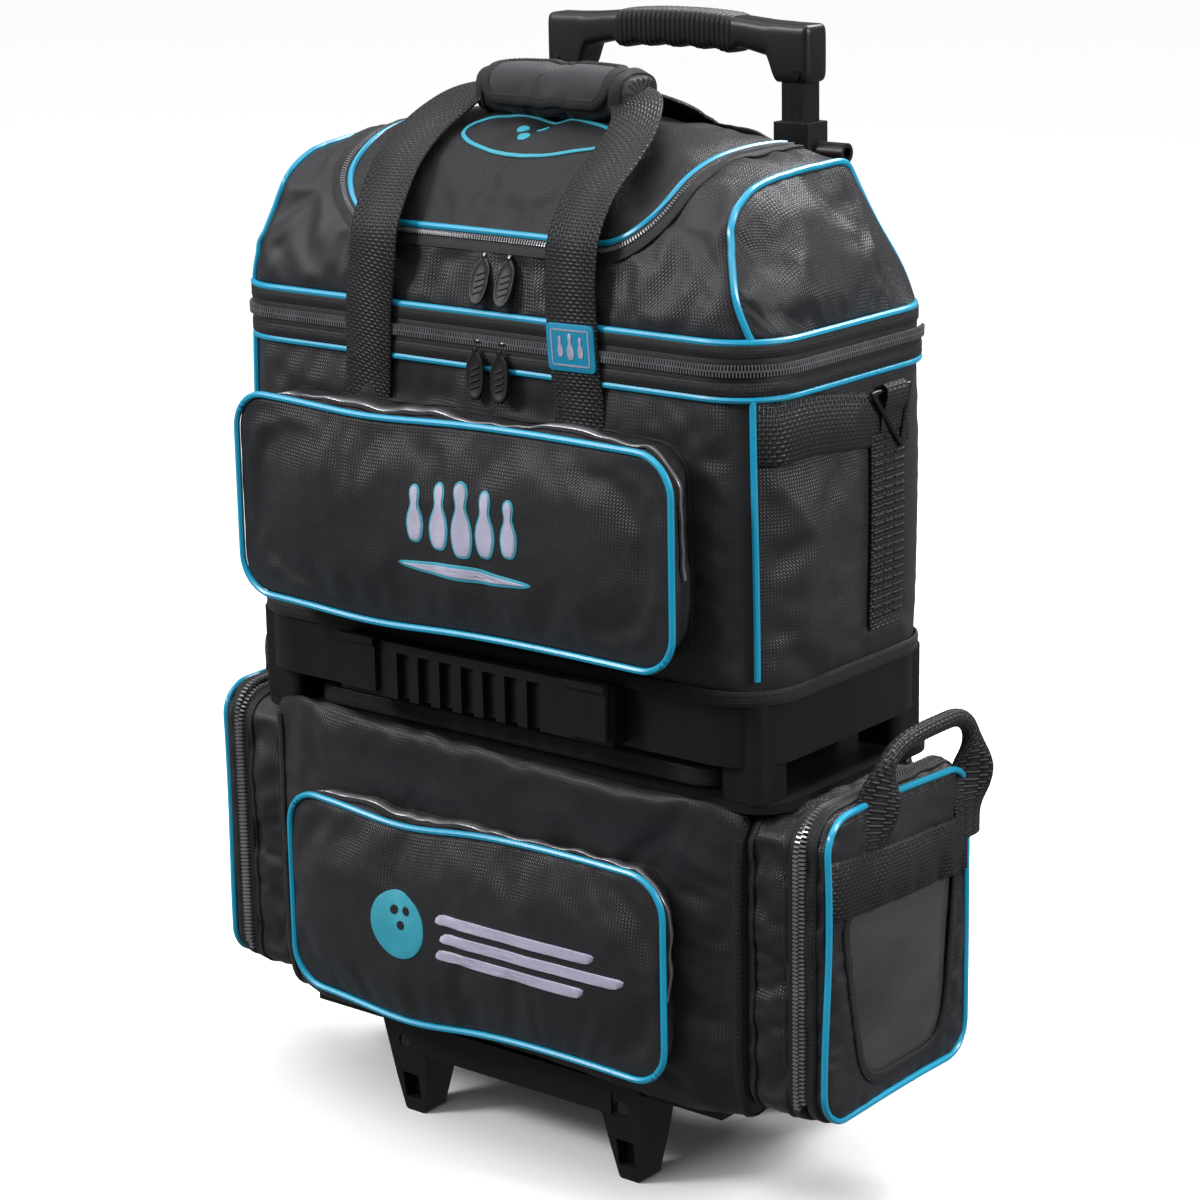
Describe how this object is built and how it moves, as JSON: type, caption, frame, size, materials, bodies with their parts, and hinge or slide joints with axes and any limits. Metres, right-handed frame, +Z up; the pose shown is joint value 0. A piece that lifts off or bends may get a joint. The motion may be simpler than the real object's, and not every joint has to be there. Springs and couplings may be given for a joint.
{
  "type": "rolling bowling bag",
  "caption": "Wheeled bowling bag: ball tote with domed zip lid that lifts off a lower bag with shoe pockets, front pockets and telescoping handle.",
  "frame": {"origin": "on the floor, under the centre of the bag's bounding box", "axes": "+Z up, the front pockets face -Y, +X to the right when seen from the front"},
  "size_m": [0.609, 0.349, 0.85],
  "materials": {
    "nylon": "woven ballistic nylon, low sheen",
    "foam": "closed-cell foam, covered",
    "webbing": "coarse woven webbing",
    "twill": "grey twill with black binding",
    "moulded": "fine moulded texture",
    "grip_plastic": "satin",
    "grip_rubber": "ribbed, soft touch",
    "tube_metal": "black anodised",
    "steel": "zinc plated",
    "ring_metal": "black nickel",
    "urethane": "smooth cast urethane",
    "hub_plastic": "moulded nylon",
    "vinyl": "clear flexible sheet",
    "zip_metal": "black nickel",
    "pull_rubber": "moulded rubber",
    "piping": "cyan-blue vinyl piping cord",
    "patch": "blue moulded rubber label, plain",
    "thread": "embroidery thread"
  },
  "bodies": {
    "trolley": {"base_frame": "moulded", "leg_screws": "steel", "wheel_housing": "moulded", "axle": "steel", "lower_shell": "nylon", "lower_foam": "foam", "lower_pocket": "nylon", "end_pocket_left": "nylon", "end_pocket_right": "nylon", "back_board": "moulded", "tube_left": "tube_metal", "tube_right": "tube_metal", "collar_left": "moulded", "collar_right": "moulded"},
    "wheel_left": {"tyre_left": "urethane", "hub_left": "hub_plastic", "bearings_left": "steel"},
    "wheel_right": {"tyre_right": "urethane", "hub_right": "hub_plastic", "bearings_right": "steel"},
    "pull_handle": {"grip": "grip_plastic", "grip_sleeve": "grip_rubber", "grip_screws": "steel", "inner_tube_left": "tube_metal", "inner_tube_right": "tube_metal"},
    "release_pin": {"release_pin": "grip_plastic"},
    "lower_lid": {"deck": "moulded"},
    "tote": {"tray": "moulded", "tote_shell": "nylon", "tote_foam": "foam", "upper_pocket": "nylon", "side_webbing_left": "webbing", "side_webbing_right": "webbing", "front_strap_roots": "webbing", "back_strap_roots": "webbing"},
    "latch_left": {"latch_left": "moulded"},
    "latch_right": {"latch_right": "moulded"},
    "ring_left": {"ring_left": "ring_metal"},
    "ring_right": {"ring_right": "ring_metal"},
    "tote_lid": {"lid_shell": "nylon", "back_strap_middle": "webbing"},
    "top_flap": {"top_flap": "nylon", "back_strap_top": "webbing"},
    "front_handle": {"front_straps": "webbing", "handle_wrap": "twill"},
    "shoe_door_left": {"door_left": "nylon", "window_left": "vinyl"},
    "grab_handle_left": {"grab_handle_left": "webbing"},
    "shoe_door_right": {"door_right": "nylon", "window_right": "vinyl"},
    "grab_handle_right": {"grab_handle_right": "webbing"},
    "main_slider_left": {"main_slider_left": "zip_metal"},
    "main_pull_left": {"main_pull_left": "pull_rubber"},
    "main_slider_right": {"main_slider_right": "zip_metal"},
    "main_pull_right": {"main_pull_right": "pull_rubber"},
    "flap_slider_left": {"flap_slider_left": "zip_metal"},
    "flap_pull_left": {"flap_pull_left": "pull_rubber"},
    "flap_slider_right": {"flap_slider_right": "zip_metal"},
    "flap_pull_right": {"flap_pull_right": "pull_rubber"}
  },
  "joints": [
    {"name": "wheel_left_spin", "type": "hinge", "parent": "trolley", "child": "wheel_left", "pos_m": [-0.14, 0.111, 0.0635], "axis": [1, 0, 0], "continuous": true},
    {"name": "wheel_right_spin", "type": "hinge", "parent": "trolley", "child": "wheel_right", "pos_m": [0.14, 0.111, 0.0635], "axis": [1, 0, 0], "continuous": true},
    {"name": "pull_handle_slide", "type": "slide", "parent": "trolley", "child": "pull_handle", "axis": [0, 0, 1], "range_m": [-0.028, 0.27]},
    {"name": "release_pin_slide", "type": "slide", "parent": "trolley", "child": "release_pin", "axis": [1, 0, 0], "range_m": [0, 0.008], "stiffness_N_per_m": 400, "springref_m": -0.002},
    {"name": "tote_lift", "type": "slide", "parent": "trolley", "child": "tote", "axis": [0, 0, 1], "range_m": [0, 0.3]},
    {"name": "lower_lid_hinge", "type": "hinge", "parent": "trolley", "child": "lower_lid", "pos_m": [0, 0.097, 0.318], "axis": [-1, 0, 0], "range_deg": [0, 60]},
    {"name": "lid_hinge", "type": "hinge", "parent": "tote", "child": "tote_lid", "pos_m": [0, 0.098, 0.634], "axis": [-1, 0, 0], "range_deg": [0, 20]},
    {"name": "flap_hinge", "type": "hinge", "parent": "tote_lid", "child": "top_flap", "pos_m": [0, 0.028, 0.777], "axis": [-1, 0, 0], "range_deg": [0, 66.5]},
    {"name": "front_handle_swing", "type": "hinge", "parent": "tote", "child": "front_handle", "pos_m": [0, -0.1372, 0.6508], "axis": [1, 0, 0], "range_deg": [0, 140.5]},
    {"name": "shoe_door_left_hinge", "type": "hinge", "parent": "trolley", "child": "shoe_door_left", "pos_m": [-0.2722, 0, 0.092], "axis": [0, -1, 0], "range_deg": [0, 85]},
    {"name": "grab_handle_left_fold", "type": "hinge", "parent": "shoe_door_left", "child": "grab_handle_left", "pos_m": [-0.2955, 0, 0.319], "axis": [0, -1, 0], "range_deg": [0, 110], "stiffness_Nm_per_rad": 0.05},
    {"name": "latch_left_press", "type": "hinge", "parent": "tote", "child": "latch_left", "pos_m": [-0.11, -0.1475, 0.401], "axis": [-1, 0, 0], "range_deg": [0, 25], "stiffness_Nm_per_rad": 0.3, "springref_deg": -5.73},
    {"name": "ring_left_swing", "type": "hinge", "parent": "tote", "child": "ring_left", "pos_m": [-0.252, 0.025, 0.6], "axis": [0, 1, 0], "range_deg": [0, 150]},
    {"name": "shoe_door_right_hinge", "type": "hinge", "parent": "trolley", "child": "shoe_door_right", "pos_m": [0.2722, 0, 0.092], "axis": [0, 1, 0], "range_deg": [0, 85]},
    {"name": "grab_handle_right_fold", "type": "hinge", "parent": "shoe_door_right", "child": "grab_handle_right", "pos_m": [0.2955, 0, 0.319], "axis": [0, 1, 0], "range_deg": [0, 110], "stiffness_Nm_per_rad": 0.05},
    {"name": "latch_right_press", "type": "hinge", "parent": "tote", "child": "latch_right", "pos_m": [0.11, -0.1475, 0.401], "axis": [-1, 0, 0], "range_deg": [0, 25], "stiffness_Nm_per_rad": 0.3, "springref_deg": -5.73},
    {"name": "ring_right_swing", "type": "hinge", "parent": "tote", "child": "ring_right", "pos_m": [0.252, 0.025, 0.6], "axis": [0, -1, 0], "range_deg": [0, 150]},
    {"name": "main_slider_left_slide", "type": "slide", "parent": "tote", "child": "main_slider_left", "axis": [1, 0, 0], "range_m": [-0.045, 0]},
    {"name": "main_pull_left_swing", "type": "hinge", "parent": "main_slider_left", "child": "main_pull_left", "pos_m": [0.004, -0.1365, 0.6285], "axis": [-1, 0, 0], "range_deg": [0, 110]},
    {"name": "main_slider_right_slide", "type": "slide", "parent": "tote", "child": "main_slider_right", "axis": [1, 0, 0], "range_m": [0, 0.018]},
    {"name": "main_pull_right_swing", "type": "hinge", "parent": "main_slider_right", "child": "main_pull_right", "pos_m": [0.027, -0.1365, 0.6285], "axis": [-1, 0, 0], "range_deg": [0, 110]},
    {"name": "flap_slider_left_slide", "type": "slide", "parent": "tote_lid", "child": "flap_slider_left", "axis": [1, 0, 0], "range_m": [-0.045, 0]},
    {"name": "flap_pull_left_swing", "type": "hinge", "parent": "flap_slider_left", "child": "flap_pull_left", "pos_m": [0.004, -0.1213, 0.6935], "axis": [-1, 0, 0], "range_deg": [0, 110]},
    {"name": "flap_slider_right_slide", "type": "slide", "parent": "tote_lid", "child": "flap_slider_right", "axis": [1, 0, 0], "range_m": [0, 0.018]},
    {"name": "flap_pull_right_swing", "type": "hinge", "parent": "flap_slider_right", "child": "flap_pull_right", "pos_m": [0.027, -0.1213, 0.6935], "axis": [-1, 0, 0], "range_deg": [0, 110]}
  ],
  "couplings": [
    {"joint": "lower_lid_hinge", "follows": "tote_lift", "rad_per_m": 3.45},
    {"joint": "flap_hinge", "follows": "lid_hinge", "ratio": 3.3},
    {"joint": "front_handle_swing", "follows": "lid_hinge", "ratio": 7}
  ]
}
